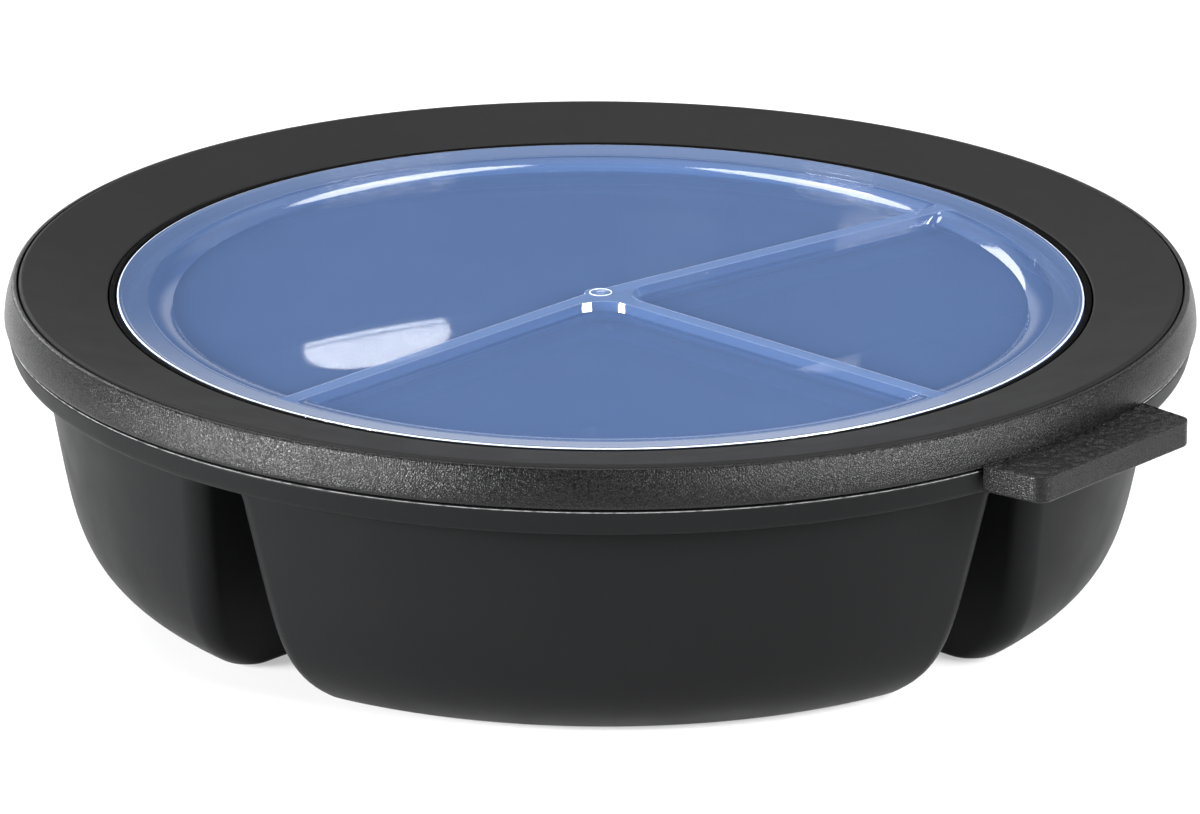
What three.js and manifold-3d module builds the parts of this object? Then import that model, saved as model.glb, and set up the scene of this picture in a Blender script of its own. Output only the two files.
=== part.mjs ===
// Round lunch bowl with three compartments and a press-on lid with a milky blue window.
// Millimetres, +Z up. The origin is on the floor under the bowl's axis, -Y is the front,
// and the lid's pull tab points to the front right.
import * as THREE from 'three';
import { mergeVertices } from 'three/addons/utils/BufferGeometryUtils.js';
import Module from 'manifold-3d';

// Fits between pieces
const GAP = 0.3; // pieces that touch
const LIFT_PLAY = 0.5; // lid wall round the bowl's upstand
const SEAT_GAP = 0.3; // lid edge over the collar
const TAB_PLAY = 0.4; // pull tab outside the collar

// Compartments: the directions of the three dividers, in degrees from +X
const DIVIDER_BACK = 39;
const DIVIDER_LEFT = 228;
const DIVIDER_RIGHT = 316.5;
const GROOVE_HALF = 3.3; // half the outside groove at its top
const GROOVE_DRAFT = 0.123; // half width gained per millimetre of depth
const CORNER_R = 4; // upright outside corners of a lobe
const APEX_R = 8; // upright corner of a lobe at the bowl's axis

// Bowl shell
const RIM_R = 93.8; // lobe wall just under the collar
const WALL_H = 40.6; // floor to the collar's underside
const WALL_DRAFT = 0.178; // radius lost per millimetre of depth
const FOOT_PULL = 9.3; // further radius lost in the curve to the foot
const FOOT_CURVE = 7.5; // how low that curve stays
const FOOT_ROUND = 1.5;
const SHELL_T = 2;
const ROOF_T = 1.6; // shell over a groove
const ARCH_RISE = 5.4; // rounded top of a groove and of a divider
const GROOVE_CREST = 0.3; // half width left at the top of a groove
const RIDGE_HALF = 1.5; // half the ridge on top of a divider
const RIDGE_H = 3.1;
const RIDGE_STOP = 2; // ridge ends this far inside the upstand
const UPSTAND_ROUND = 0.5;

// Rim collar of the shell
const COLLAR_H = 4.4;
const COLLAR_T = 1.8;
const COLLAR_INSET = 0.4; // inside the lid's edge
const COLLAR_TAPER = 1;
const COLLAR_ROUND = 0.6;
const SKIRT_T = 1.4;
const CHANNEL_IN = 1.6; // wall left inside the channel under the collar

// Lid window
const WINDOW_RIM_T = 1;
const WINDOW_RIM_W = 1.9;
const BEAD_H = 0.7;
const BEAD_W = 0.7;
const BEAD_ROUND = 0.35;
const BEAD_FOOT = 0.35; // slope from the bead to the flange
const PANEL_INSET = 6.5; // flange from the window's edge to a panel
const PANEL_DEPTH = 1.7;
const PANEL_RUN = 6; // slope of a panel's outer wall
const PANEL_DRAFT = 0.4; // slope of a panel's wall along a rib
const PANEL_CORNER_R = 2.5;
const PANEL_APEX_R = 6;
const RIB_HALF = 1.5;
const GATE_R = 2.8; // round land where the ribs meet

// Window seal
const SEAL_T = 0.7;
const SEAL_LEG_T = 0.5;
const SEAL_DROP = 0.7; // below the window's edge

// Lid ring
const RING_W = 14.9; // bore to lip
const RING_RISE = 2.9; // bore edge to lip
const RING_PROUD = 0.1; // bore edge over the window's edge
const RING_T = 1.7;
const RING_LEG_T = 1.8;
const RING_WALL_T = 1.9;
const RING_WALL_UP = 0.6; // wall's foot over the lid's edge
const LEDGE_T = 0.9;
const LEDGE_W = 2.8;
const LIP_OVERHANG = 1.3;
const LIP_H = 2.4;
const LIP_ROUND = 0.9;

// Lid band and its pull tab
const BAND_TOP_T = 0.8;
const BAND_FLARE = 1.4;
const BAND_DROP = 0.45; // band's top under the lip's top
const BAND_ROUND = 0.5;
const BAND_CROWN = 0.4; // bulge over a straight flare
const TAB_ANGLE = -40;
const TAB_REACH = 9.5; // past the band
const TAB_W = 40;
const TAB_ROOT_W = 42;
const TAB_T = 4.6;
const TAB_LAP = 0.9; // tab's top over the band's lower edge
const TAB_CORNER_R = 2;
const TAB_EDGE = 0.5;
const NECK_IN = 1.4; // neck into the band
const NECK_OUT = 1; // neck into the tab

// Lid seal
const LID_SEAL_T = 1.2;
const LID_SEAL_W = 3.2;
const LID_SEAL_SIDE = 0.7; // inside the ring's wall

// Fineness of the facets
const TURN_STEPS = 60;
const ARC_STEP = 9; // degrees along a lobe's outer wall
const CORNER_STEPS = 3;
const APEX_STEPS = 3;
const ARCH_STEPS = 3;
const TAB_STEPS = 8;
const ARC_MIDDLE = 1 - Math.SQRT1_2; // how far a quarter arc's middle lies inside its corner
const MERGE = 1e-4; // vertices this close are one
const WALL_DEPTHS = [0.99, 0.95, 0.88, 0.76, 0.55, 0.25]; // share of the depth at each wall level

// Radii that follow from the sizes above
const ringWallIn = RIM_R + LIFT_PLAY;
const ringWallOut = ringWallIn + RING_WALL_T;
const lipR = ringWallOut + LIP_OVERHANG;
const ringBore = lipR - RING_W;
const sealOuterR = ringBore - GAP;
const windowR = sealOuterR - SEAL_T - GAP;
const bandLipIn = lipR + GAP;
const bandTopR = bandLipIn + BAND_TOP_T;
const bandFootR = bandTopR + BAND_FLARE;
const collarR = bandFootR - COLLAR_INSET;
const collarFootR = collarR - COLLAR_TAPER;
const ridgeEnd = RIM_R - SHELL_T - RIDGE_STOP;

// Heights that follow from the sizes above
const shellRoof = WALL_H + ROOF_T;
const ridgeTop = shellRoof + RIDGE_H;
const lidUnder = ridgeTop + GAP;
const ledgeTop = lidUnder + LEDGE_T;
const sealLegTop = ledgeTop + GAP + SEAL_LEG_T;
const windowRimZ = sealLegTop + GAP;
const flangeTop = windowRimZ + WINDOW_RIM_T;
const beadTop = flangeTop + BEAD_H;
const boreTop = beadTop + RING_PROUD;
const lipTop = boreTop + RING_RISE;
const collarTop = WALL_H + COLLAR_H;
const lidEdge = collarTop + SEAT_GAP;
const bandTop = lipTop - BAND_DROP;
const ringSlope = RING_RISE / (RING_W - LIP_ROUND);
const ringUnder = (r) => boreTop + (r - ringBore) * ringSlope - RING_T;
const lidSealOut = ringWallIn - LID_SEAL_SIDE;
const lidSealIn = lidSealOut - LID_SEAL_W;
const lidSealFoot = ringUnder(lidSealIn) - GAP - LID_SEAL_T;
const upstandTop = lidSealFoot - GAP;
const cutTop = lipTop + GAP; // just over the lid, where cuts end

const wasm = await Module();
wasm.setup();

// Solids

function signedVolume(position, index) {
  const [a, b, c] = [new THREE.Vector3(), new THREE.Vector3(), new THREE.Vector3()];
  let volume = 0;
  for (let i = 0; i < index.length; i += 3) {
    a.fromBufferAttribute(position, index[i]);
    b.fromBufferAttribute(position, index[i + 1]);
    c.fromBufferAttribute(position, index[i + 2]);
    volume += a.dot(b.cross(c)) / 6;
  }
  return volume;
}

function toSolid(geometry) {
  geometry.deleteAttribute('normal');
  geometry.deleteAttribute('uv');
  const merged = mergeVertices(geometry, MERGE);
  const position = merged.getAttribute('position');
  const all = merged.getIndex().array;
  const index = [];
  for (let i = 0; i < all.length; i += 3) {
    const [a, b, c] = [all[i], all[i + 1], all[i + 2]];
    if (a !== b && b !== c && c !== a) index.push(a, b, c);
  }
  if (signedVolume(position, index) < 0) index.reverse();
  const vertProperties = new Float32Array(position.array);
  const triVerts = new Uint32Array(index);
  return new wasm.Manifold(new wasm.Mesh({ numProp: 3, vertProperties, triVerts }));
}

function toMesh(name, solid, material) {
  const { vertProperties, triVerts } = solid.getMesh();
  const geometry = new THREE.BufferGeometry();
  geometry.setAttribute('position', new THREE.BufferAttribute(vertProperties, 3));
  geometry.setIndex(new THREE.BufferAttribute(triVerts, 1));
  geometry.computeVertexNormals();
  const mesh = new THREE.Mesh(geometry, material);
  mesh.name = name;
  return mesh;
}

// Turns a profile of [radius, height] points round the axis. A profile off the axis closes on itself.
function revolve(points) {
  const profile = points.map(([r, z]) => new THREE.Vector2(r, z));
  if (points[0][0] > 0) profile.push(profile[0].clone());
  return toSolid(new THREE.LatheGeometry(profile, TURN_STEPS).rotateX(Math.PI / 2));
}

// Joins outlines of equal point count, lowest first, into one closed body.
function loft(levels) {
  const count = levels[0].outline.length;
  const top = (levels.length - 1) * count;
  const positions = levels.flatMap(({ z, outline }) => outline.flatMap((p) => [p.x, p.y, z]));
  const index = [];
  for (let start = 0; start < top; start += count) {
    for (let i = 0; i < count; i += 1) {
      const a = start + i;
      const b = start + ((i + 1) % count);
      index.push(a, b, b + count, a, b + count, a + count);
    }
  }
  for (const [a, b, c] of THREE.ShapeUtils.triangulateShape(levels[0].outline, [])) {
    index.push(c, b, a);
  }
  for (const [a, b, c] of THREE.ShapeUtils.triangulateShape(levels.at(-1).outline, [])) {
    index.push(top + a, top + b, top + c);
  }
  const geometry = new THREE.BufferGeometry();
  geometry.setAttribute('position', new THREE.Float32BufferAttribute(positions, 3));
  geometry.setIndex(index);
  return toSolid(geometry);
}

function extrude(shape, z, height, edge = 0) {
  const geometry = new THREE.ExtrudeGeometry(shape, {
    depth: height - 2 * edge,
    curveSegments: TAB_STEPS,
    bevelEnabled: edge > 0,
    bevelThickness: edge,
    bevelSize: edge,
    bevelOffset: -edge,
    bevelSegments: 1,
  });
  return geometry.translate(0, 0, z + edge);
}

// Outlines of a compartment

const rad = THREE.MathUtils.degToRad;
const lobes = [
  { from: rad(DIVIDER_BACK), to: rad(DIVIDER_LEFT) },
  { from: rad(DIVIDER_LEFT), to: rad(DIVIDER_RIGHT) },
  { from: rad(DIVIDER_RIGHT), to: rad(DIVIDER_BACK + 360) },
];

function polar(radius, angle, centre = new THREE.Vector2()) {
  return new THREE.Vector2(radius * Math.cos(angle), radius * Math.sin(angle)).add(centre);
}

function arc(centre, radius, from, to, steps) {
  const angleAt = (i) => from + ((to - from) * i) / steps;
  return Array.from({ length: steps + 1 }, (_, i) => polar(radius, angleAt(i), centre));
}

// A sector between two dividers: halfGap off each divider's middle plane, with rounded corners.
function sectorOutline({ from, to }, radius, halfGap, cornerR, apexR) {
  const span = to - from;
  const side = Math.asin((halfGap + cornerR) / (radius - cornerR));
  const quarter = Math.PI / 2;
  const arcSteps = Math.round(span / rad(ARC_STEP));
  const bend = span < Math.PI ? 1 : -1;
  const apexCentre = polar((halfGap + bend * apexR) / Math.sin(span / 2), from + span / 2);
  const apexFrom = to + bend * quarter;
  return [
    ...arc(polar(radius - cornerR, from + side), cornerR, from - quarter, from + side, CORNER_STEPS),
    ...arc(new THREE.Vector2(), radius, from + side, to - side, arcSteps).slice(1, -1),
    ...arc(polar(radius - cornerR, to - side), cornerR, to - side, to + quarter, CORNER_STEPS),
    ...arc(apexCentre, apexR, apexFrom, apexFrom + Math.PI - span, APEX_STEPS),
  ];
}

// One lobe of the bowl, drawn in by inset, from its floor up to the crest of its dividers and on to top.
function lobe(sector, { inset, floor, crest, crestHalf, top }) {
  const bend = sector.to - sector.from < Math.PI ? 1 : -1;
  const outlineAt = (z, halfGap, pull) => {
    const depth = Math.max(0, (WALL_H - z) / (WALL_H - floor));
    const wall = RIM_R - WALL_DRAFT * WALL_H * depth - FOOT_PULL * depth ** FOOT_CURVE;
    const radius = wall - inset - pull;
    return sectorOutline(sector, radius, halfGap + pull, CORNER_R - inset, APEX_R - bend * inset);
  };
  const halfAt = (z) => GROOVE_HALF + GROOVE_DRAFT * (WALL_H - Math.min(z, WALL_H)) + inset;
  const shoulder = crest - ARCH_RISE;
  const levels = [{ z: floor, outline: outlineAt(floor, halfAt(floor), FOOT_ROUND) }];
  for (const depth of WALL_DEPTHS) {
    const z = WALL_H - depth * (WALL_H - floor);
    levels.push({ z, outline: outlineAt(z, halfAt(z), 0) });
  }
  for (let i = 0; i <= ARCH_STEPS; i += 1) {
    const turn = (i / ARCH_STEPS) * (Math.PI / 2);
    const z = shoulder + ARCH_RISE * Math.sin(turn);
    const halfGap = crestHalf + (halfAt(shoulder) - crestHalf) * Math.cos(turn);
    levels.push({ z, outline: outlineAt(z, halfGap, 0) });
  }
  levels.push({ z: top, outline: outlineAt(top, crestHalf, 0) });
  return loft(levels);
}

const lobesOf = (sizes) => lobes.map((sector) => lobe(sector, sizes));
const joined = (solids) => solids.reduce((whole, solid) => whole.add(solid));
const cut = (solid, cutters) => cutters.reduce((whole, cutter) => whole.subtract(cutter), solid);

// Bowl shell: three lobes under one collar, with ridged dividers and an upstand that the lid slips over

function bowlShell() {
  const outside = lobesOf({
    inset: 0,
    floor: 0,
    crest: WALL_H,
    crestHalf: GROOVE_CREST,
    top: WALL_H + ROOF_T / 2,
  });
  const channelIn = RIM_R + CHANNEL_IN;
  const channelOut = collarFootR - SKIRT_T;
  const rim = revolve([
    [0, WALL_H],
    [channelIn, WALL_H],
    [channelIn, collarTop - COLLAR_T],
    [channelOut, collarTop - COLLAR_T],
    [channelOut, WALL_H],
    [collarFootR - COLLAR_ROUND, WALL_H],
    [collarFootR, WALL_H + COLLAR_ROUND],
    [collarR, collarTop - COLLAR_ROUND],
    [collarR - COLLAR_ROUND, collarTop],
    [RIM_R, collarTop],
    [RIM_R, upstandTop - UPSTAND_ROUND],
    [RIM_R - UPSTAND_ROUND, upstandTop],
    [ridgeEnd, upstandTop],
    [ridgeEnd, ridgeTop],
    [0, ridgeTop],
  ]);
  const pockets = lobesOf({
    inset: SHELL_T,
    floor: SHELL_T,
    crest: shellRoof,
    crestHalf: RIDGE_HALF,
    top: cutTop,
  });
  return cut(joined([rim, ...outside]), pockets);
}

// Lid window: a milky disc with a bead at its edge and one sunk panel over each compartment

function lidWindow() {
  const plugR = windowR - WINDOW_RIM_W;
  const disc = revolve([
    [0, lidUnder],
    [plugR, lidUnder],
    [plugR, windowRimZ],
    [windowR, windowRimZ],
    [windowR, beadTop - BEAD_ROUND],
    [windowR - BEAD_ROUND, beadTop],
    [windowR - BEAD_W, beadTop],
    [windowR - BEAD_W - BEAD_FOOT, flangeTop],
    [0, flangeTop],
  ]);
  const panelR = windowR - PANEL_INSET;
  const panels = lobes.map((sector) => {
    const outlineAt = (share) => sectorOutline(
      sector,
      panelR - PANEL_RUN * share,
      RIB_HALF + PANEL_DRAFT * share,
      PANEL_CORNER_R - PANEL_DRAFT * share,
      PANEL_APEX_R,
    );
    return loft([
      { z: flangeTop - PANEL_DEPTH, outline: outlineAt(1) },
      { z: flangeTop, outline: outlineAt(0) },
      { z: beadTop, outline: outlineAt(0) },
    ]);
  });
  const gateLand = revolve([
    [0, lidUnder],
    [GATE_R, lidUnder],
    [GATE_R, flangeTop],
    [0, flangeTop],
  ]);
  return cut(disc, panels).add(gateLand);
}

// Window seal: an L-shaped soft ring between the window and the lid ring

function windowSeal() {
  const legIn = ringBore - LEDGE_W;
  return revolve([
    [legIn, ledgeTop + GAP],
    [sealOuterR, ledgeTop + GAP],
    [sealOuterR, beadTop - SEAL_DROP],
    [sealOuterR - SEAL_T, beadTop - SEAL_DROP],
    [sealOuterR - SEAL_T, sealLegTop],
    [legIn, sealLegTop],
  ]);
}

// Lid ring: the smooth frame, dished toward the window, with a rounded lip

function lidRing() {
  const ledgeIn = ringBore - LEDGE_W;
  const legOut = ringBore + RING_LEG_T;
  const wallFoot = lidEdge + RING_WALL_UP;
  const crownR = lipR - LIP_ROUND;
  return revolve([
    [ledgeIn, lidUnder],
    [legOut, lidUnder],
    [legOut, ringUnder(legOut)],
    [ringWallIn, ringUnder(ringWallIn)],
    [ringWallIn, wallFoot],
    [ringWallOut, wallFoot],
    [ringWallOut, lipTop - LIP_H],
    [lipR, lipTop - LIP_H],
    [lipR, lipTop - LIP_ROUND],
    [lipR - ARC_MIDDLE * LIP_ROUND, lipTop - ARC_MIDDLE * LIP_ROUND],
    [crownR, lipTop],
    [ringBore, boreTop],
    [ringBore, ledgeTop],
    [ledgeIn, ledgeTop],
  ]);
}

// Lid band: the soft grained edge of the lid, in one piece with its pull tab

function tabShape() {
  const inner = collarR + TAB_PLAY;
  const outer = bandFootR + TAB_REACH;
  const half = TAB_W / 2;
  const rootAngle = Math.asin(TAB_ROOT_W / 2 / inner);
  const root = polar(inner, -rootAngle);
  const shape = new THREE.Shape();
  shape.moveTo(root.x, root.y);
  shape.lineTo(outer - TAB_CORNER_R, -half);
  shape.quadraticCurveTo(outer, -half, outer, TAB_CORNER_R - half);
  shape.lineTo(outer, half - TAB_CORNER_R);
  shape.quadraticCurveTo(outer, half, outer - TAB_CORNER_R, half);
  shape.lineTo(root.x, -root.y);
  shape.absarc(0, 0, inner, rootAngle, -rootAngle, true);
  return shape;
}

function neckShape() {
  const inner = bandFootR - NECK_IN;
  const outer = collarR + TAB_PLAY + NECK_OUT;
  const angle = Math.asin((TAB_ROOT_W / 2 - TAB_EDGE) / outer);
  const shape = new THREE.Shape();
  shape.absarc(0, 0, outer, -angle, angle, false);
  shape.absarc(0, 0, inner, angle, -angle, true);
  return shape;
}

function lidBand() {
  const bandIn = ringWallOut + GAP;
  const shelf = lipTop - LIP_H - GAP;
  const ring = revolve([
    [bandIn, lidEdge],
    [bandFootR - BAND_ROUND, lidEdge],
    [bandFootR, lidEdge + BAND_ROUND],
    [(bandFootR + bandTopR) / 2 + BAND_CROWN, (lidEdge + bandTop) / 2],
    [bandTopR, bandTop - BAND_ROUND],
    [bandTopR - BAND_ROUND, bandTop],
    [bandLipIn, bandTop],
    [bandLipIn, shelf],
    [bandIn, shelf],
  ]);
  const tabTop = lidEdge + TAB_LAP;
  const tab = extrude(tabShape(), tabTop - TAB_T, TAB_T, TAB_EDGE).rotateZ(rad(TAB_ANGLE));
  const neck = extrude(neckShape(), lidEdge, TAB_LAP - TAB_EDGE).rotateZ(rad(TAB_ANGLE));
  return joined([ring, toSolid(neck), toSolid(tab)]);
}

// Lid seal: a soft ring under the lid ring that presses on the bowl's upstand

function lidSeal() {
  return revolve([
    [lidSealIn, lidSealFoot],
    [lidSealOut, lidSealFoot],
    [lidSealOut, ringUnder(lidSealOut) - GAP],
    [lidSealIn, ringUnder(lidSealIn) - GAP],
  ]);
}

const plastic = (color, roughness) => new THREE.MeshStandardMaterial({ color, roughness, metalness: 0 });
const charcoal = plastic(0x3c3d3f, 0.45);
const smoothBlack = plastic(0x3a3a3b, 0.5);
const grainedBlack = plastic(0x343435, 0.7);
const rubber = plastic(0x0c0c0d, 0.85);
const milkyBlue = new THREE.MeshStandardMaterial({
  color: 0x7c98cc,
  roughness: 0.08,
  metalness: 0,
  transparent: true,
  opacity: 0.5,
});

const bowl = new THREE.Group();
bowl.add(toMesh('bowl_shell', bowlShell(), charcoal));

const lid = new THREE.Group();
lid.add(
  toMesh('lid_ring', lidRing(), smoothBlack),
  toMesh('lid_band', lidBand(), grainedBlack),
  toMesh('lid_window', lidWindow(), milkyBlue),
  toMesh('window_seal', windowSeal(), rubber),
  toMesh('lid_seal', lidSeal(), rubber),
);

const bentoBowl = new THREE.Group();
bentoBowl.add(bowl, lid);

export default bentoBowl;
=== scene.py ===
import math

import bmesh
import bpy
import numpy as np
from mathutils import Matrix, Vector, noise


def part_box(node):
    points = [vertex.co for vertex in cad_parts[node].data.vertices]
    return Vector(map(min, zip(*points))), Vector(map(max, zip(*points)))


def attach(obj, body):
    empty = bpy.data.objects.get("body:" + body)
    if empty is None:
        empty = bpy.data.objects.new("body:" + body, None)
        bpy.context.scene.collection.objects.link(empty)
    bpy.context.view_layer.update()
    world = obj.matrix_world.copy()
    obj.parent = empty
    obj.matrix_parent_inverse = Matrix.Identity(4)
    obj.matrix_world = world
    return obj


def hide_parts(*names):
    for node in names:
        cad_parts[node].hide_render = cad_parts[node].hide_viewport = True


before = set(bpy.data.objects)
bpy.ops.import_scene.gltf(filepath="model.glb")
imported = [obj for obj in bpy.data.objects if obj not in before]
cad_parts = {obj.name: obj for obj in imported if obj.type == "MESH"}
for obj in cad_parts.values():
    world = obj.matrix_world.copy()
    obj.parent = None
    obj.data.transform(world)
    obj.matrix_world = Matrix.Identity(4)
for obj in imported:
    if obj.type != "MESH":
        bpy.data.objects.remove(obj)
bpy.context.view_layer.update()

# Looks of a round lunch bowl with three compartments and a press-on lid with a milky blue window.
# Lengths are in millimetres until a mesh is made, in the frame of the solids.
MM = 0.001


def limits(node):
    """Lowest and highest corner of a solid, in millimetres."""
    low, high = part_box(node)
    return low / MM, high / MM


# Sizes read from the frame
shell_high = limits("bowl_shell")[1]
ring_low, ring_high = limits("lid_ring")
band_low, band_high = limits("lid_band")
window_high = limits("lid_window")[1]
seal_low, seal_high = limits("window_seal")
lid_seal_low, lid_seal_high = limits("lid_seal")
COLLAR_R = shell_high.x
UPSTAND_TOP = shell_high.z
LIP_R = ring_high.x
LIP_TOP = ring_high.z
LID_UNDER = ring_low.z
BAND_R = -band_low.x
BAND_TOP = band_high.z
TAB_FOOT = band_low.z
WINDOW_SHRINK = 0.2  # leaves room for the seal's broad top
WINDOW_R = window_high.x - WINDOW_SHRINK
BEAD_TOP = window_high.z

# Compartments
DIVIDERS = [math.radians(a) for a in (39.0, 228.0, 316.5, 399.0)]
GROOVE_HALF = 3.3
GROOVE_DRAFT = 0.123
CORNER_R = 4.0
APEX_R = 8.0
RIM_R = 93.8
WALL_H = 40.6
WALL_DRAFT = 0.178
FOOT_PULL = 9.3
FOOT_CURVE = 7.5  # how sharply the wall turns in at the foot, outside
POCKET_CURVE = 5.0  # and inside
ARCH_RISE = 5.4

# Bowl shell
GAP = 0.3
SHELL_T = 2.0
SHELL_FOOT = (1.5, 0.9)  # run and rise of the rounded foot
POCKET_FOOT = (2.6, 2.2)  # run and rise of the fillet round a compartment's floor
GROOVE_CREST = 0.3
ROOF_T = 1.6
ROOF = WALL_H + ROOF_T
OVERLAP = 0.02  # keeps joined bodies from sharing a face
RIDGE_HALF = 1.5
RIDGE_TOP = LID_UNDER - GAP
RIDGE_ROUND = 0.5
RIDGE_STOP = 2.0  # between a ridge's end and the wall
RIDGE_END = RIM_R - SHELL_T - RIDGE_STOP
RIM_FLARE = 0.5
COLLAR_H = 4.4
COLLAR_TOP = WALL_H + COLLAR_H
COLLAR_TAPER = 1.0
COLLAR_ROUND = 0.7
COLLAR_FOOT_ROUND = 1.4
COLLAR_T = 1.8
SKIRT_T = 1.4
CHANNEL_IN = 1.6
EASE = 0.3  # roundings of small and hidden edges
EASE_SMALL = 0.2
EASE_TINY = 0.1
COLLAR_GLINT_SIZE = (COLLAR_ROUND / 2, COLLAR_ROUND / 3)  # width and height of the painted highlight along the collar's upper edge

# Lid ring
RING_W = 14.9
RING_BORE = LIP_R - RING_W
RING_RISE = 2.9
RING_T = 1.7
RING_LEG_T = 1.8
RING_WALL_GAP = 0.5
RING_WALL_IN = RIM_R + RING_WALL_GAP
RING_WALL_T = 1.9
RING_FOOT_GAP = 0.9
RING_FOOT = COLLAR_TOP + RING_FOOT_GAP
LEDGE_T = 0.9
LEDGE_W = 2.8
LIP_H = 2.4
LIP_ROUND = 0.9
BORE_ROUND = 0.35
RING_SLOPE = RING_RISE / (LIP_R - LIP_ROUND - RING_BORE)

# Lid band and its pull tab
LID_EDGE = COLLAR_TOP + GAP
BAND_TOP_W = 0.8
BAND_TOP_R = LIP_R + GAP + BAND_TOP_W
BAND_ROUND = 0.5
BAND_FOOT_ROUND = 0.9
BAND_LIP_ROUND = 0.15
BAND_CROWN = 0.4
BAND_CROWN_RUN = 1.6
TAB_ANGLE = math.radians(-40.0)
TAB_GAP = 0.4
TAB_REACH = 9.5
TAB_IN = COLLAR_R + TAB_GAP
TAB_OUT = BAND_R + TAB_REACH
TAB_W = 40.0
TAB_ROOT_W = 42.0
TAB_ROOT_SAG = TAB_ROOT_W / 8  # how far the curved root reaches inward
TAB_RISE = 0.9
TAB_TOP = LID_EDGE + TAB_RISE
TAB_CORNER_R = 2.5
TAB_ROUND = 0.4
NECK_IN = 1.4
NECK_OUT = 1.0
NECK_H = 0.4
TAB_PITCH = 0.4  # spacing of the points on the tab
WRINKLE_DEPTH = 0.46
WRINKLE_CELL = 1.2
WRINKLE_FOLDS = (1.0, 2.0, 2, 1.0, 2.0)  # dimension, spacing, octaves, offset and gain
WRINKLE_CREST = 2.0  # height of the folds that stay at the top

# Lid window
WINDOW_RIM_T = 1.7
WINDOW_RIM_W = 1.9
WINDOW_RIM_ROUND = 0.15
BEAD_H = 0.12
BEAD_W = 0.7
BEAD_FOOT = 0.35
BEAD_ROUND = 0.35
BEAD_SHOW = (0.3, 0.12)  # width and height of the bead's crest, which is painted as a highlight
FLANGE_TOP = BEAD_TOP - BEAD_H
FLANGE_DISH = 0.32  # how far the flange falls toward the panels
RIB_TOP = FLANGE_TOP - FLANGE_DISH
FLANGE_W = 5.2
PANEL_R = WINDOW_R - FLANGE_W
PANEL_DEPTH = 1.5
PANEL_LIP = (0.25, 0.04)  # run and drop of a panel's broken edge
PANEL_RUN = 4.2
PANEL_CURVE = 2.5  # how much steeper a panel's outer wall is at its foot
PANEL_DRAFT = 0.4
PANEL_CORNER_R = 1.4
PANEL_APEX_R = 6.0
RIB_HALF = 1.5
GATE_R = 2.8
GATE_MARK_R = 1.95
GATE_MARK_W = 0.22
GATE_MARK_H = 0.12
GATE_SHOW = GATE_MARK_H / 3  # where the mark's crest, painted as a highlight, starts
GATE_DOT_R = 0.35

# Seals
SEAL_T = 0.9
SEAL_LEG_T = 0.5
SEAL_TOP = BEAD_TOP
LID_SEAL_W = 3.2
SEAL_ROUND = 0.2

# Fineness
TURN_STEPS = 360
BAND_STEPS = 720
ARC_STEP = math.radians(1.5)
CORNER_STEPS = 12
APEX_STEPS = 8
WALL_LEVELS = 26
WALL_SPREAD = 1.5  # draws the levels together near the foot
ARCH_LEVELS = 8
ROUND_STEPS = 5
PANEL_LEVELS = 24
GATE_STEPS = 48
ROOT_STEPS = 24
NECK_STEPS = 48
SHARP = math.radians(38.0)
LEVEL_SHARP = math.radians(2.5)  # between two nearly level faces
LEVEL = 0.98  # least upward share of a level face's normal
FACING = 0.5  # least share of a normal along the direction that a face looks in
ON_AXIS = 1e-6
MERGE = 1e-7  # metres

# Tones of the materials, the darkest and the lightest where there are two
SHELL_TONES = ((0.0052, 0.0054, 0.0057), (0.0065, 0.0067, 0.0070))
# pale tone painted as a highlight on the collar's upper edge
COLLAR_GLINT_TONE = (0.15, 0.15, 0.15)
RING_TONES = ((0.0092, 0.0092, 0.0096), (0.0122, 0.0122, 0.0126))
# painted shade in the band's creases, then the tone of the pebbles' tops
BAND_CREASE_SHADE_TONES = ((0.0012, 0.0012, 0.0013), (0.0095, 0.0095, 0.0100))
PANEL_TONES = ((0.097, 0.172, 0.370), (0.101, 0.178, 0.381))
FLANGE_TONE = (0.076, 0.126, 0.252)
RIB_TONE = (0.112, 0.180, 0.350)
# near-white tone painted as a highlight on the window's bead and gate mark
EDGE_GLINT_TONE = (0.62, 0.66, 0.75)
RUBBER_TONES = ((0.0008, 0.0008, 0.0009), (0.0016, 0.0016, 0.0017))
FLOOR_TONES = ((0.50, 0.50, 0.50), (0.52, 0.52, 0.52))
FLOOR_FAR_TONE = (0.06, 0.06, 0.06)

# Surfaces, with the sizes and depths of their grain in millimetres
NOISE_RANGE = (0.3, 0.7)  # where most of a noise lies
CLOUD = 35.0  # faint clouds of colour in the satin plastics
SHEEN = 9.0  # patches of slightly different sheen
SHEEN_SPREAD = 0.04
POLISH_IOR = 2.2
POLISH_ROUGH = 0.06
# size of the patches that break up the collar's painted highlight
GLINT_PATCH = 1.6
GLINT_PATCH_SPREAD = (0.35, 0.55, 0.3, 1.0)
PEBBLE = 0.36
PEBBLE_SHARE = 0.7
CREASE = 0.30
CRACKLE = 0.20
CRACKLE_SHARE = 0.6
GRAIN_DEPTH = 0.048
BAND_ROUGH = (0.24, 0.32)
WINDOW_IOR = 2.4
WINDOW_ROUGH = (0.07, 0.10)
WINDOW_HAZE = 4.0
TINT_CLOUD = 25.0
MILK = (0.40, 0.72)  # how much the panels and the thick parts hide
EDGE_GLINT_COVER = 0.9
MILK_CLOUD = 14.0
MILK_UNEVEN = 0.01
RUBBER_CLOUD = 8.0
RUBBER_SHEEN = 2.0
RUBBER_ROUGH = (0.62, 0.78)
RUBBER_GRAIN = 0.5
RUBBER_DEPTH = 0.01

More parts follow.
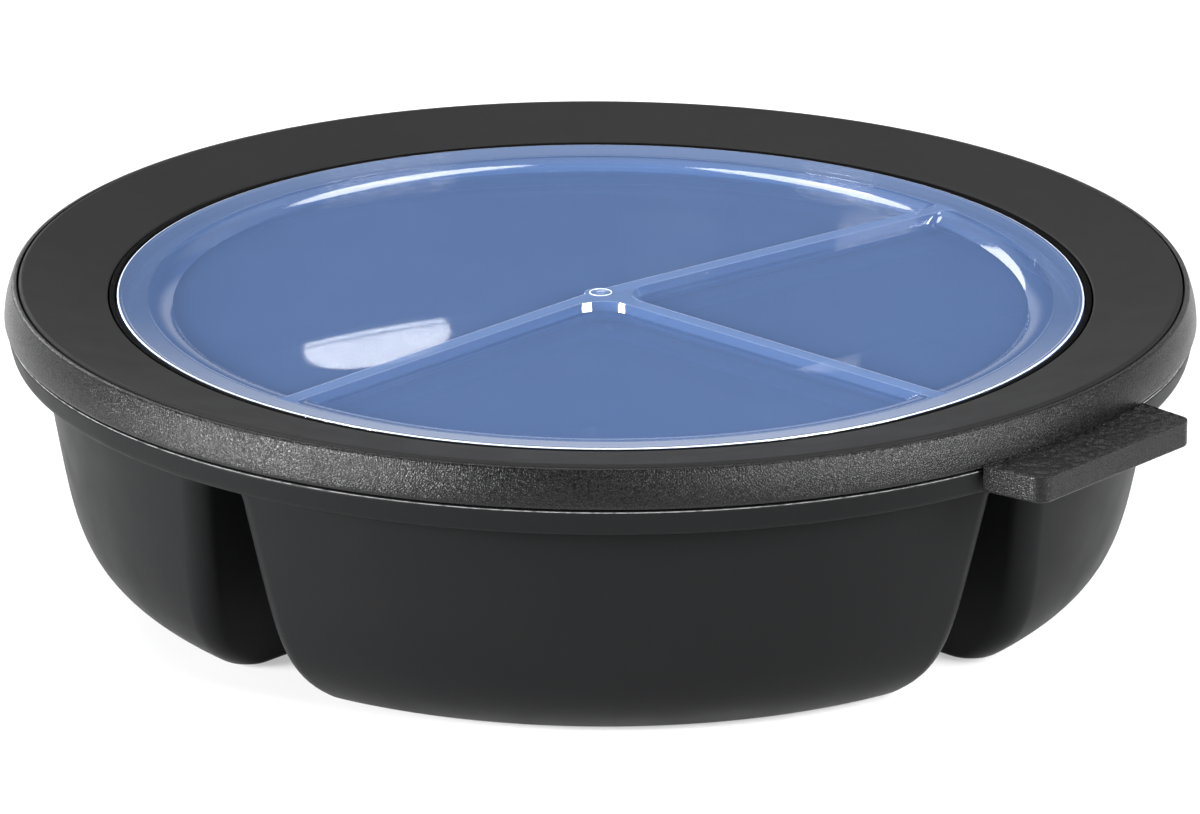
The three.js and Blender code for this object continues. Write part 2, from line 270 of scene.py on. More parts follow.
# Floor and light: the floor's mesh and grain in millimetres, all else in metres
FLOOR_HALF = 4000.0
FLOOR_DROP = 0.2
FLOOR_GLOW = 0.44
FLOOR_NEAR_RUN = (0.12, 0.60)
FLOOR_FAR_RUN = (0.45, 0.90)
FLOOR_CLOUD = 300.0
FLOOR_SHEEN = 20.0
FLOOR_ROUGH = (0.6, 0.7)
SWEEP = (0.17, 0.29, 1.0, 0.0)  # start and end as shares of straight up, then the glow at both
CANOPY = (0.39, 0.49, 0.0, 0.45)
BEHIND = (0.3, 0.7, 0.0, 1.0)  # the same toward the back
STUDIO_LEVEL = (0.10, 1.15)
LAMPS = (  # name, shape, place, width, height and watts
    ("key_left", "ELLIPSE", (-0.32, 0.45, 0.94), 0.42, 0.44, 3.9),
    ("key_right", "ELLIPSE", (0.29, 0.45, 0.94), 0.42, 0.44, 3.9),
    ("side_left", "RECTANGLE", (-1.08, -0.58, 0.30), 0.44, 0.42, 56.0),
    ("side_right", "ELLIPSE", (1.01, -0.67, 0.56), 0.84, 0.80, 48.0),
    ("back_left", "RECTANGLE", (-0.58, 1.08, 0.47), 0.40, 0.50, 5.0),
)

# Camera and picture of the photograph
IMAGE_W = 1200
FOCAL_PX = 10694.0
SENSOR = 36.0
CAMERA_DISTANCE = 1.8
CAMERA_TILT = math.radians(18.94)
CAMERA_ROLL = math.radians(0.3)
CAMERA_TARGET = Vector((0.0, 0.0, 0.02856))


# Mesh helpers


def new_object(name, verts, faces):
    mesh = bpy.data.meshes.new(name)
    mesh.from_pydata([tuple(v) for v in np.asarray(verts) * MM], [], faces)
    obj = bpy.data.objects.new(name, mesh)
    bpy.context.scene.collection.objects.link(obj)
    return obj


def rounded(corners):
    """A closed profile of (radius, height, rounding) corners as points, each corner eased by its rounding."""
    points = []
    count = len(corners)
    for i, (r, z, ease) in enumerate(corners):
        here = np.array((r, z))
        if not ease:
            points.append(here)
            continue
        before = np.array(corners[i - 1][:2]) - here
        after = np.array(corners[(i + 1) % count][:2]) - here
        start = here + before * min(0.5, ease / np.linalg.norm(before))
        end = here + after * min(0.5, ease / np.linalg.norm(after))
        for s in np.linspace(0, 1, ROUND_STEPS + 1):
            points.append((1 - s) ** 2 * start + 2 * s * (1 - s) * here + s**2 * end)
    return points


def divided(points, pitch):
    """A closed profile with its long sides cut into steps of about one pitch."""
    fine = []
    for here, after in zip(points, points[1:] + points[:1]):
        steps = max(1, round(float(np.linalg.norm(after - here)) / pitch))
        fine += [here + (after - here) * k / steps for k in range(steps)]
    return fine


def lathe(name, points, steps=TURN_STEPS):
    """Turns a closed profile round the axis. Points on the axis become poles."""
    verts, rows, faces = [], [], []
    for r, z in points:
        if r < ON_AXIS:
            rows.append([len(verts)] * steps)
            verts.append((0.0, 0.0, z))
            continue
        rows.append([len(verts) + k for k in range(steps)])
        for k in range(steps):
            turn = 2 * math.pi * k / steps
            verts.append((r * math.cos(turn), r * math.sin(turn), z))
    for low, high in zip(rows, rows[1:] + rows[:1]):
        for k in range(steps):
            after = (k + 1) % steps
            corners = list(dict.fromkeys((low[k], low[after], high[after], high[k])))
            if len(corners) > 2:
                faces.append(corners)
    return facing_out(new_object(name, verts, faces))


def loft(name, levels):
    """Joins (height, outline) levels, lowest first, into one closed body."""
    count = len(levels[0][1])
    verts = [(x, y, z) for z, outline in levels for x, y in outline]
    faces = [list(range(count))[::-1]]
    for start in range(0, len(verts) - count, count):
        for k in range(count):
            after = (k + 1) % count
            low, low_after = start + k, start + after
            faces.append((low, low_after, low_after + count, low + count))
    faces.append([len(verts) - count + k for k in range(count)])
    return facing_out(new_object(name, verts, faces))


def facing_out(obj):
    bm = bmesh.new()
    bm.from_mesh(obj.data)
    bmesh.ops.recalc_face_normals(bm, faces=bm.faces)
    bm.to_mesh(obj.data)
    bm.free()
    return obj


def combine(base, others, operation):
    """Unites others with base, or takes them off it, and leaves only base."""
    for other in others:
        step = base.modifiers.new("combine", "BOOLEAN")
        step.solver = "MANIFOLD"
        step.operation = operation
        step.object = other
        apply_modifiers(base)
        bpy.data.objects.remove(other)
    return base


def apply_modifiers(obj):
    graph = bpy.context.evaluated_depsgraph_get()
    mesh = bpy.data.meshes.new_from_object(obj.evaluated_get(graph))
    obj.modifiers.clear()
    obj.data = mesh


def finished(obj, name, node, material):
    """Shades a piece, gives it its material and lets it stand for its solid."""
    obj.name = obj.data.name = name
    bm = bmesh.new()
    bm.from_mesh(obj.data)
    bmesh.ops.dissolve_degenerate(bm, dist=MERGE, edges=bm.edges)
    for face in bm.faces:
        face.smooth = True
    for edge in bm.edges:
        level = all(face.normal.z > LEVEL for face in edge.link_faces)
        limit = LEVEL_SHARP if level and node == "lid_window" else SHARP
        edge.smooth = len(edge.link_faces) == 2 and edge.calc_face_angle() < limit
    bm.to_mesh(obj.data)
    bm.free()
    even = obj.modifiers.new("even_shading", "WEIGHTED_NORMAL")
    even.keep_sharp = True
    obj.data.materials.clear()
    obj.data.materials.append(material)
    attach(obj, "bowl" if node.startswith("bowl") else "lid")
    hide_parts(node)
    return obj


# Outlines of a compartment


def arc(centre, radius, start, end, steps):
    turn = np.linspace(start, end, steps + 1)
    return np.column_stack((centre[0] + radius * np.cos(turn), centre[1] + radius * np.sin(turn)))


def polar(radius, angle):
    return radius * math.cos(angle), radius * math.sin(angle)


def sector_outline(start, end, radius, half_gap, corner_r, apex_r):
    """A sector between two dividers, half_gap off each one's middle plane, with rounded corners."""
    span = end - start
    side = math.asin((half_gap + corner_r) / (radius - corner_r))
    quarter = math.pi / 2
    bend = 1 if span < math.pi else -1
    middle = polar((half_gap + bend * apex_r) / math.sin(span / 2), start + span / 2)
    apex = end + bend * quarter
    first = polar(radius - corner_r, start + side)
    last = polar(radius - corner_r, end - side)
    return np.vstack((
        arc(first, corner_r, start - quarter, start + side, CORNER_STEPS),
        arc((0, 0), radius, start + side, end - side, round(span / ARC_STEP))[1:-1],
        arc(last, corner_r, end - side, end + quarter, CORNER_STEPS),
        arc(middle, apex_r, apex, apex + math.pi - span, APEX_STEPS),
    ))


def lobe(start, end, inset, floor, foot, curve, crest, crest_half, above):
    """One lobe drawn in by inset: rounded foot, wall and arched divider.

    The levels above it are given as (height, half_gap, pull).
    """
    bend = 1 if end - start < math.pi else -1

    def outline(z, half_gap, pull=0.0):
        depth = max(0.0, (WALL_H - z) / (WALL_H - floor))
        wall = RIM_R - WALL_DRAFT * WALL_H * depth - FOOT_PULL * depth**curve
        radius = wall - inset - pull
        return sector_outline(start, end, radius, half_gap, CORNER_R - inset, APEX_R - bend * inset)

    def half_at(z):
        return GROOVE_HALF + GROOVE_DRAFT * (WALL_H - min(z, WALL_H)) + inset

    run, rise = foot
    shoulder = crest - ARCH_RISE
    levels = []
    for turn in np.linspace(0, math.pi / 2, ROUND_STEPS + 1)[:-1]:
        z = floor + rise * (1 - math.cos(turn))
        pull = run * (1 - math.sin(turn))
        levels.append((z, outline(z, half_at(z) + pull, pull)))
    for share in np.linspace(0, 1, WALL_LEVELS)[:-1] ** WALL_SPREAD:
        z = floor + rise + (shoulder - floor - rise) * share
        levels.append((z, outline(z, half_at(z))))
    for turn in np.linspace(0, math.pi / 2, ARCH_LEVELS):
        z = shoulder + ARCH_RISE * math.sin(turn)
        half_gap = crest_half + (half_at(shoulder) - crest_half) * math.cos(turn)
        levels.append((z, outline(z, half_gap)))
    for z, half_gap, pull in above:
        levels.append((z, outline(z, half_gap, pull)))
    return loft("lobe", levels)


def lobes(*sizes):
    return [lobe(start, end, *sizes) for start, end in zip(DIVIDERS, DIVIDERS[1:])]


# Bowl


def bowl_shell(material):
    channel_out = COLLAR_R - COLLAR_TAPER - SKIRT_T
    channel_top = COLLAR_TOP - COLLAR_T
    rim = lathe("rim", rounded([
        (0, WALL_H, 0),
        (RIM_R + CHANNEL_IN, WALL_H, EASE),
        (RIM_R + CHANNEL_IN, channel_top, EASE),
        (channel_out, channel_top, EASE),
        (channel_out, WALL_H, EASE),
        (COLLAR_R - COLLAR_TAPER, WALL_H, COLLAR_FOOT_ROUND),
        (COLLAR_R, COLLAR_TOP, COLLAR_ROUND),
        (RIM_R, COLLAR_TOP, EASE),
        (RIM_R, UPSTAND_TOP, 2 * EASE),
        (RIDGE_END, UPSTAND_TOP, EASE),
        (RIDGE_END, RIDGE_TOP, EASE),
        (0, RIDGE_TOP, 0),
    ]))
    under_roof = [((WALL_H + ROOF) / 2, GROOVE_CREST, 0)]
    combine(rim, lobes(0, 0, SHELL_FOOT, FOOT_CURVE, WALL_H + OVERLAP, GROOVE_CREST, under_roof), "UNION")
    pockets = lobes(SHELL_T, SHELL_T, POCKET_FOOT, POCKET_CURVE, ROOF, RIDGE_HALF, mouth_levels())
    combine(rim, pockets, "DIFFERENCE")
    mark_inside(rim)
    mark_collar_glint(rim)
    return finished(rim, "shell", "bowl_shell", material)


def mouth_levels():
    """Levels of a compartment over its arched divider: the ridge's rounded top, then the flared rim."""
    turns = np.linspace(0, math.pi / 2, ROUND_STEPS + 1)
    narrow = RIDGE_HALF - RIDGE_ROUND
    levels = []
    for turn in turns:
        z = RIDGE_TOP - RIDGE_ROUND * (1 - math.sin(turn))
        levels.append((z, narrow + RIDGE_ROUND * math.cos(turn), 0))
    for turn in turns:
        z = UPSTAND_TOP - RIM_FLARE * (1 - math.sin(turn))
        levels.append((z, narrow, -RIM_FLARE * (1 - math.cos(turn))))
    levels.append((LIP_TOP, narrow, -RIM_FLARE))
    return levels


def mark_inside(bowl):
    """Marks the walls and floors of the compartments, which come polished from the mould."""
    eyes = [Vector((*polar(RIM_R / 2, (a + b) / 2), WALL_H / 2)) * MM for a, b in zip(DIVIDERS, DIVIDERS[1:])]
    polished = bowl.data.attributes.new("polished", "FLOAT", "FACE")
    for face in bowl.data.polygons:
        turn = math.atan2(face.center.y, face.center.x)
        turn = DIVIDERS[0] + (turn - DIVIDERS[0]) % (2 * math.pi)
        eye = eyes[sum(turn > divider for divider in DIVIDERS[1:-1])]
        inward = (eye - face.center).dot(face.normal) > 0
        on_wall = face.center.xy.normalized().dot(face.normal.xy) < -FACING
        under_arch = face.center.z < (WALL_H - 2 * ARCH_RISE) * MM
        polished.data[face.index].value = float(inward and (on_wall or under_arch))


def mark_collar_glint(bowl):
    """Marks the collar's upper edge, which gets a painted highlight."""
    painted_glint = bowl.data.attributes.new("painted_glint", "FLOAT", "FACE")
    for face in bowl.data.polygons:
        x, y, z = face.center / MM
        on_edge = math.hypot(x, y) > COLLAR_R - COLLAR_GLINT_SIZE[0] and z > COLLAR_TOP - COLLAR_GLINT_SIZE[1]
        painted_glint.data[face.index].value = float(on_edge)


# Pieces of the lid


def lid_ring(material):
    bore_top = LIP_TOP - RING_RISE
    leg_out = RING_BORE + RING_LEG_T
    wall_out = RING_WALL_IN + RING_WALL_T
    ledge_in = RING_BORE - LEDGE_W

    def under(r):
        return bore_top + (r - RING_BORE) * RING_SLOPE - RING_T

    ring = lathe("ring", rounded([
        (ledge_in, LID_UNDER, EASE_SMALL),
        (leg_out, LID_UNDER, EASE),
        (leg_out, under(leg_out), EASE),
        (RING_WALL_IN, under(RING_WALL_IN), EASE),
        (RING_WALL_IN, RING_FOOT, EASE),
        (wall_out, RING_FOOT, EASE),
        (wall_out, LIP_TOP - LIP_H, EASE_SMALL),
        (LIP_R, LIP_TOP - LIP_H, EASE_SMALL),
        (LIP_R, LIP_TOP, LIP_ROUND),
        (RING_BORE, bore_top, BORE_ROUND),
        (RING_BORE, LID_UNDER + LEDGE_T, EASE_TINY),
        (ledge_in, LID_UNDER + LEDGE_T, EASE_SMALL),
    ]))
    return finished(ring, "ring", "lid_ring", material)


def tab_outline(inner, outer, root_half, half, corner_r):
    """The tab seen from above, pointing along +X: a curved root, straight sides and two round corners."""
    root = math.asin(root_half / inner)
    return np.vstack((
        arc((0, 0), inner, root, -root, ROOT_STEPS),
        arc((outer - corner_r, corner_r - half), corner_r, -math.pi / 2, 0, CORNER_STEPS),
        arc((outer - corner_r, half - corner_r), corner_r, 0, math.pi / 2, CORNER_STEPS),
    ))


def turned(outline, angle):
    c, s = math.cos(angle), math.sin(angle)
    return outline @ np.array(((c, s), (-s, c)))


def pull_tab():
    outline = tab_outline(TAB_IN, TAB_OUT, TAB_ROOT_W / 2, TAB_W / 2, TAB_CORNER_R)
    outline = turned(outline, TAB_ANGLE)
    tab = loft("tab", [(TAB_FOOT, outline), (TAB_TOP, outline)])
    ease = tab.modifiers.new("ease", "BEVEL")
    ease.width = TAB_ROUND * MM
    ease.segments = ROUND_STEPS
    ease.limit_method = "ANGLE"
    ease.angle_limit = SHARP
    apply_modifiers(tab)
    return wrinkled(tab)


def wrinkled(tab):
    """Cuts the tab into a fine grid and sinks wrinkles into its top."""
    bm = bmesh.new()
    bm.from_mesh(tab.data)
    along = Vector((*polar(1, TAB_ANGLE), 0))
    for direction, low, high in (
        (along, TAB_IN - TAB_ROOT_SAG, TAB_OUT),
        (Vector((-along.y, along.x, 0)), -TAB_ROOT_W / 2, TAB_ROOT_W / 2),
    ):
        for place in np.arange(low, high, TAB_PITCH):
            geometry = [*bm.verts, *bm.edges, *bm.faces]
            bmesh.ops.bisect_plane(bm, geom=geometry, plane_co=direction * place * MM, plane_no=direction)
    for vert in bm.verts:
        if vert.co.z > (TAB_TOP - TAB_ROUND / 2) * MM:
            folds = noise.ridged_multi_fractal(vert.co / (WRINKLE_CELL * MM), *WRINKLE_FOLDS)
            vert.co.z -= WRINKLE_DEPTH * MM * min(1.0, max(0.0, 1.0 - folds / WRINKLE_CREST))
    bm.to_mesh(tab.data)
    bm.free()
    return tab


def tab_neck():
    inner = BAND_R - NECK_IN
    outer = TAB_IN + NECK_OUT
    turn = math.asin((TAB_ROOT_W / 2 - TAB_ROUND) / outer)
    outline = np.vstack((
        arc((0, 0), outer, -turn, turn, NECK_STEPS),
        arc((0, 0), inner, turn, -turn, NECK_STEPS),
    ))
    outline = turned(outline, TAB_ANGLE)
    return loft("neck", [(LID_EDGE, outline), (LID_EDGE + NECK_H, outline)])


def lid_band(material):
    band_in = RING_WALL_IN + RING_WALL_T + GAP
    lip_in = LIP_R + GAP
    shelf = LIP_TOP - LIP_H - GAP
    middle_r = (BAND_R + BAND_TOP_R) / 2 + BAND_CROWN
    profile = rounded([
        (band_in, LID_EDGE, EASE_SMALL),
        (BAND_R, LID_EDGE, BAND_FOOT_ROUND),
        (middle_r, (LID_EDGE + BAND_TOP) / 2, BAND_CROWN_RUN),
        (BAND_TOP_R, BAND_TOP, BAND_ROUND),
        (lip_in, BAND_TOP, BAND_LIP_ROUND),
        (lip_in, shelf, EASE_TINY),
        (band_in, shelf, EASE_SMALL),
    ])
    band = lathe("band", divided(profile, 2 * math.pi * BAND_R / BAND_STEPS), BAND_STEPS)
    combine(band, [tab_neck(), pull_tab()], "UNION")
    return finished(band, "band", "lid_band", material)


def window_panel(start, end):
    run, drop = PANEL_LIP
    levels = []
    for t in np.linspace(0, 1, PANEL_LEVELS + 1):
        rise = 1 - (1 - t) ** PANEL_CURVE
        outline = sector_outline(
            start,
            end,
            PANEL_R - PANEL_RUN * (1 - t),
            RIB_HALF + PANEL_DRAFT * (1 - rise),
            PANEL_CORNER_R,
            PANEL_APEX_R,
        )
        levels.append((RIB_TOP - drop - (PANEL_DEPTH - drop) * (1 - rise), outline))
    mouth = sector_outline(start, end, PANEL_R + run, RIB_HALF - run, PANEL_CORNER_R + run, PANEL_APEX_R)
    levels.append((RIB_TOP, mouth))
    levels.append((BEAD_TOP, mouth))
    return loft("panel", levels)


def gate_parts():
    top = RIB_TOP + GATE_MARK_H
    low = RIB_TOP - GATE_MARK_H
    inner = GATE_MARK_R - GATE_MARK_W
    foot = LID_UNDER + GAP
    profiles = (
        [(0, foot, 0), (GATE_R, foot, 0), (GATE_R, RIB_TOP, EASE), (0, RIB_TOP, 0)],
        [(inner, low, 0), (GATE_MARK_R, low, 0), (GATE_MARK_R, top, EASE_TINY), (inner, top, EASE_TINY)],
        [(0, low, 0), (GATE_DOT_R, low, 0), (GATE_DOT_R, RIB_TOP, 0), (0, top, 0)],
    )
    return [lathe("gate", rounded(profile), GATE_STEPS) for profile in profiles]


def lid_window(material):
    plug_r = WINDOW_R - WINDOW_RIM_W
    rim_z = BEAD_TOP - WINDOW_RIM_T
    bead_in = WINDOW_R - BEAD_W
    disc = lathe("disc", rounded([
        (0, LID_UNDER, 0),
        (plug_r, LID_UNDER, EASE),
        (plug_r, rim_z, WINDOW_RIM_ROUND),
        (WINDOW_R, rim_z, WINDOW_RIM_ROUND),
        (WINDOW_R, BEAD_TOP, BEAD_ROUND),
        (bead_in, BEAD_TOP, EASE_SMALL),
        (bead_in - BEAD_FOOT, FLANGE_TOP, 0),
        (PANEL_R + 2 * PANEL_LIP[0], RIB_TOP, 0),
        (0, RIB_TOP, 0),
    ]))
    panels = [window_panel(start, end) for start, end in zip(DIVIDERS, DIVIDERS[1:])]
    combine(disc, panels, "DIFFERENCE")
    combine(disc, gate_parts(), "UNION")
    mark_window(disc)
    return finished(disc, "window", "lid_window", material)


def mark_window(window):
    """Marks the flange and ribs, where the plastic is thick, and the thin edges that catch the light, which
    get a painted highlight.
    """
    land = window.data.attributes.new("land", "FLOAT", "FACE")
    rib = window.data.attributes.new("rib", "FLOAT", "FACE")
    edge = window.data.attributes.new("edge", "FLOAT", "FACE")
    for face in window.data.polygons:
        x, y, z = face.center / MM
        on_top = face.normal.z > FACING or z > FLANGE_TOP
        r = math.hypot(x, y)
        thick = on_top and z > RIB_TOP - PANEL_LIP[1]
        land.data[face.index].value = float(thick)
        rib.data[face.index].value = float(thick and r < PANEL_R)
        bead = r > WINDOW_R - BEAD_SHOW[0] and z > BEAD_TOP - BEAD_SHOW[1]
        mark = r < GATE_R and z > RIB_TOP + GATE_SHOW
        edge.data[face.index].value = float(bead or mark)


def window_seal(material):
    inner = seal_high.x - SEAL_T
    leg_in = RING_BORE - LEDGE_W
    leg_top = seal_low.z + SEAL_LEG_T
    seal = lathe("seal", rounded([
        (leg_in, seal_low.z, SEAL_ROUND),
        (seal_high.x, seal_low.z, SEAL_ROUND),
        (seal_high.x, SEAL_TOP, SEAL_ROUND),
        (inner, SEAL_TOP, SEAL_ROUND),
        (inner, leg_top, SEAL_ROUND),
        (leg_in, leg_top, SEAL_ROUND),
    ]))
    return finished(seal, "window_gasket", "window_seal", material)


def lid_seal(material):
    outer = lid_seal_high.x
    inner = outer - LID_SEAL_W
    gasket = lathe("gasket", rounded([
        (inner, lid_seal_low.z, 2 * SEAL_ROUND),
        (outer, lid_seal_low.z, 2 * SEAL_ROUND),
        (outer, lid_seal_high.z, SEAL_ROUND),
        (inner, lid_seal_high.z - LID_SEAL_W * RING_SLOPE, SEAL_ROUND),
    ]))
    return finished(gasket, "lid_gasket", "lid_seal", material)


# Materials


def ranged(tree, source, *ends):
    """Takes a value from the range of the first two ends to that of the last two."""
    node = tree.nodes.new("ShaderNodeMapRange")
    for socket, value in zip(("From Min", "From Max", "To Min", "To Max"), ends):
        node.inputs[socket].default_value = value
    tree.links.new(source, node.inputs["Value"])
    return node.outputs["Result"]


class Paint:
    """A material with its main shader and short calls for the nodes that feed it."""

    def __init__(self, name, **values):
        self.material = bpy.data.materials.new(name)
        self.material.use_nodes = True
        self.tree = self.material.node_tree
        self.shader = self.tree.nodes["Principled BSDF"]
        self.place = self.add("ShaderNodeTexCoord").outputs["Object"]
        for socket, value in values.items():
            self.shader.inputs[socket.replace("_", " ")].default_value = value

    def add(self, kind, **settings):
        node = self.tree.nodes.new(kind)
        for key, value in settings.items():
            setattr(node, key, value)
        return node

    def link(self, source, target):
        self.tree.links.new(source, target)

    def noise(self, size, detail=2.0, rough=0.5):
        """Noise with features of about one size, in millimetres."""
        node = self.add("ShaderNodeTexNoise")
        node.inputs["Scale"].default_value = 1 / (size * MM)
        node.inputs["Detail"].default_value = detail
        node.inputs["Roughness"].default_value = rough
        self.link(self.place, node.inputs["Vector"])
        return node.outputs["Fac"]

    def cells(self, size):
        """Distance to the border between cells of about one size, in millimetres."""
        node = self.add("ShaderNodeTexVoronoi", feature="DISTANCE_TO_EDGE")
        node.inputs["Scale"].default_value = 1 / (size * MM)
        self.link(self.place, node.inputs["Vector"])
        return node.outputs["Distance"]

    def span(self, source, low, high, to_low, to_high):
        return ranged(self.tree, source, low, high, to_low, to_high)

    def math(self, operation, first, second):
        node = self.add("ShaderNodeMath", operation=operation)
        for socket, value in zip(node.inputs, (first, second)):
            if isinstance(value, float):
                socket.default_value = value
            else:
                self.link(value, socket)
        return node.outputs[0]

    def mark(self, name):
        """A value that the mesh carries on its faces."""
        return self.add("ShaderNodeAttribute", attribute_name=name).outputs["Fac"]

    def blend(self, share, first, second):
        node = self.add("ShaderNodeMix", data_type="RGBA")
        self.link(share, node.inputs[0])
        for socket, value in zip(node.inputs[6:8], (first, second)):
            if isinstance(value, tuple):
                socket.default_value = (*value, 1)
            else:
                self.link(value, socket)
        return node.outputs[2]

    def colour(self, share, first, second):
        self.link(self.blend(share, first, second), self.shader.inputs["Base Color"])

    def roughness(self, source, low, high):
        self.link(self.span(source, *NOISE_RANGE, low, high), self.shader.inputs["Roughness"])

    def bump(self, height, depth):
        """Relief of the given depth, in millimetres."""
        node = self.add("ShaderNodeBump")
        node.inputs["Strength"].default_value = 1.0
        node.inputs["Distance"].default_value = depth * MM
        self.link(height, node.inputs["Height"])
        self.link(node.outputs["Normal"], self.shader.inputs["Normal"])


def satin(name, tones, rough, shine, texture, depth):
    """Moulded satin plastic: faint cloudy colour, fine spark-worn texture and slightly uneven sheen."""
    paint = Paint(name, Specular_IOR_Level=shine)
    paint.colour(paint.noise(CLOUD, detail=3.0), *tones)
    paint.roughness(paint.noise(SHEEN, detail=4.0), rough - SHEEN_SPREAD, rough + SHEEN_SPREAD)
    paint.bump(paint.noise(texture, rough=0.6), depth)
    return paint


def bowl_plastic():
    """Satin outside, polished inside, and a painted highlight along the collar's upper edge, broken into
    patches.
    """
    paint = satin("satin_charcoal", SHELL_TONES, rough=0.42, shine=0.05, texture=0.35, depth=0.006)
    # painted highlight on the collar's upper edge, broken into patches by noise
    patches = paint.span(paint.noise(GLINT_PATCH), *GLINT_PATCH_SPREAD)
    glint = paint.math("MULTIPLY", paint.mark("painted_glint"), patches)
    plain = paint.shader.inputs["Base Color"].links[0].from_socket
    paint.link(paint.blend(glint, plain, COLLAR_GLINT_TONE), paint.shader.inputs["Base Color"])
    paint.link(paint.mark("polished"), paint.shader.inputs["Coat Weight"])
    paint.shader.inputs["Coat IOR"].default_value = POLISH_IOR
    paint.shader.inputs["Coat Roughness"].default_value = POLISH_ROUGH
    return paint.material


def ring_plastic():
    return satin("fine_charcoal", RING_TONES, rough=0.58, shine=0.06, texture=0.45, depth=0.010).material


def leather_grain():
    """Soft plastic with fine pebbles, painted darker in the creases between them as shade, and a finer
    crackle.
    """
    paint = Paint("grained_edge", Specular_IOR_Level=0.18)
    pebbles = paint.span(paint.cells(PEBBLE), 0.0, CREASE, 0.0, 1.0)
    crackle = paint.noise(CRACKLE, rough=0.6)
    coarse = paint.math("MULTIPLY", pebbles, PEBBLE_SHARE)
    fine = paint.math("MULTIPLY", crackle, CRACKLE_SHARE)
    # painted shade: the creases between the pebbles are coloured far darker than their tops
    paint.colour(pebbles, *BAND_CREASE_SHADE_TONES)
    paint.roughness(crackle, *BAND_ROUGH)
    paint.bump(paint.math("ADD", coarse, fine), GRAIN_DEPTH)
    return paint.material


def milky_blue():
    """See-through plastic with blue milk in it: paler where it is thick, and painted white as a highlight
    along its thin edges.
    """
    paint = Paint("milky_blue", IOR=WINDOW_IOR)
    land = paint.mark("land")
    edge = paint.mark("edge")
    cloud = paint.span(paint.noise(MILK_CLOUD), *NOISE_RANGE, -MILK_UNEVEN, MILK_UNEVEN)
    deep = paint.blend(paint.noise(TINT_CLOUD), *PANEL_TONES)
    flange = paint.blend(land, deep, FLANGE_TONE)
    thick = paint.blend(paint.mark("rib"), flange, RIB_TONE)
    # painted highlight: the crests of the bead and the gate mark turn near white and less see-through
    paint.link(paint.blend(edge, thick, EDGE_GLINT_TONE), paint.shader.inputs["Base Color"])
    milk = paint.math("ADD", paint.span(land, 0.0, 1.0, *MILK), cloud)
    bright = paint.span(edge, 0.0, 1.0, 0.0, EDGE_GLINT_COVER)
    paint.link(paint.math("MAXIMUM", milk, bright), paint.shader.inputs["Alpha"])
    paint.roughness(paint.noise(WINDOW_HAZE), *WINDOW_ROUGH)
    return paint.material


def black_rubber():
    paint = Paint("black_rubber", Specular_IOR_Level=0.02)
    paint.colour(paint.noise(RUBBER_CLOUD, detail=3.0), *RUBBER_TONES)
    paint.roughness(paint.noise(RUBBER_SHEEN, detail=3.0), *RUBBER_ROUGH)
    paint.bump(paint.noise(RUBBER_GRAIN), RUBBER_DEPTH)
    return paint.material


def pale_floor():
    paint = Paint("pale_floor")
    spread = paint.add("ShaderNodeVectorMath", operation="LENGTH")
    paint.link(paint.place, spread.inputs[0])
    glow = paint.span(spread.outputs["Value"], *FLOOR_NEAR_RUN, FLOOR_GLOW, 0.0)
    paint.link(glow, paint.shader.inputs["Emission Strength"])
    plain = paint.blend(paint.noise(FLOOR_CLOUD), *FLOOR_TONES)
    far = paint.span(spread.outputs["Value"], *FLOOR_FAR_RUN, 0.0, 1.0)
    paint.link(paint.blend(far, plain, FLOOR_FAR_TONE), paint.shader.inputs["Base Color"])
    paint.roughness(paint.noise(FLOOR_SHEEN), *FLOOR_ROUGH)
    return paint.material


# Floor, light and camera


def studio_floor():
    signs = ((-1, -1), (1, -1), (1, 1), (-1, 1))
    corners = [(x * FLOOR_HALF, y * FLOOR_HALF, -FLOOR_DROP) for x, y in signs]
    floor = new_object("floor", corners, [(0, 1, 2, 3)])
    floor.data.materials.append(pale_floor())


def softbox(name, shape, place, width, height, watts):
    """A lamp with a flat face turned to the bowl."""
    lamp = bpy.data.lights.new(name, "AREA")
    lamp.shape = shape
    lamp.size = width
    lamp.size_y = height
    lamp.energy = watts
    obj = bpy.data.objects.new(name, lamp)
    bpy.context.scene.collection.objects.link(obj)
    obj.location = place
    obj.rotation_euler = (CAMERA_TARGET - Vector(place)).to_track_quat("-Z", "Y").to_euler()


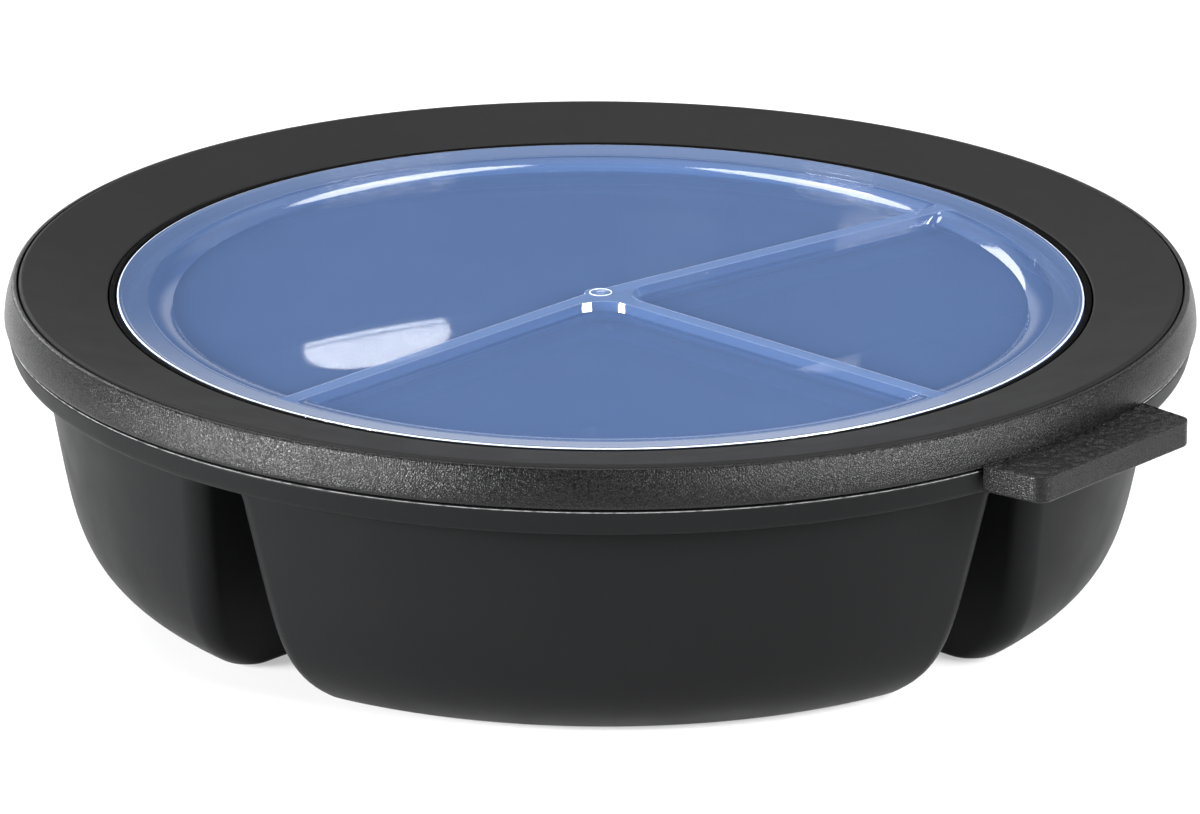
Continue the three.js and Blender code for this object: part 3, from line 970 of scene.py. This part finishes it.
def studio_world():
    """A dim studio with a white sweep that rises a little behind the bowl, and a pale canopy over it."""
    world = bpy.data.worlds.new("studio")
    bpy.context.scene.world = world
    world.use_nodes = True
    tree = world.node_tree
    toward = tree.nodes.new("ShaderNodeSeparateXYZ")
    tree.links.new(tree.nodes.new("ShaderNodeTexCoord").outputs["Generated"], toward.inputs[0])
    glow = ranged(tree, toward.outputs["Z"], *SWEEP)
    for operation, axis, ends in (("ADD", "Z", CANOPY), ("MULTIPLY", "Y", BEHIND)):
        node = tree.nodes.new("ShaderNodeMath")
        node.operation = operation
        tree.links.new(glow, node.inputs[0])
        tree.links.new(ranged(tree, toward.outputs[axis], *ends), node.inputs[1])
        glow = node.outputs[0]
    background = tree.nodes["Background"]
    background.inputs["Color"].default_value = (1, 1, 1, 1)
    tree.links.new(ranged(tree, glow, 0.0, 1.0, *STUDIO_LEVEL), background.inputs["Strength"])


def surroundings():
    studio_world()
    for lamp in LAMPS:
        softbox(*lamp)


def photo_camera():
    back = Vector((0, -math.cos(CAMERA_TILT), math.sin(CAMERA_TILT)))
    right = Vector((1, 0, 0))
    up = back.cross(right)
    across = right * math.cos(CAMERA_ROLL) + up * math.sin(CAMERA_ROLL)
    over = up * math.cos(CAMERA_ROLL) - right * math.sin(CAMERA_ROLL)
    data = bpy.data.cameras.new("camera")
    data.sensor_fit = "HORIZONTAL"
    data.sensor_width = SENSOR
    data.lens = SENSOR * FOCAL_PX / IMAGE_W
    camera = bpy.data.objects.new("camera", data)
    bpy.context.scene.collection.objects.link(camera)
    place = Matrix((across, over, back)).transposed().to_4x4()
    place.translation = CAMERA_TARGET + back * CAMERA_DISTANCE
    camera.matrix_world = place
    bpy.context.scene.camera = camera


def main():
    rubber = black_rubber()
    bowl_shell(bowl_plastic())
    lid_ring(ring_plastic())
    lid_band(leather_grain())
    lid_window(milky_blue())
    window_seal(rubber)
    lid_seal(rubber)
    studio_floor()
    surroundings()
    photo_camera()
    bpy.context.scene.view_settings.view_transform = "Standard"


main()
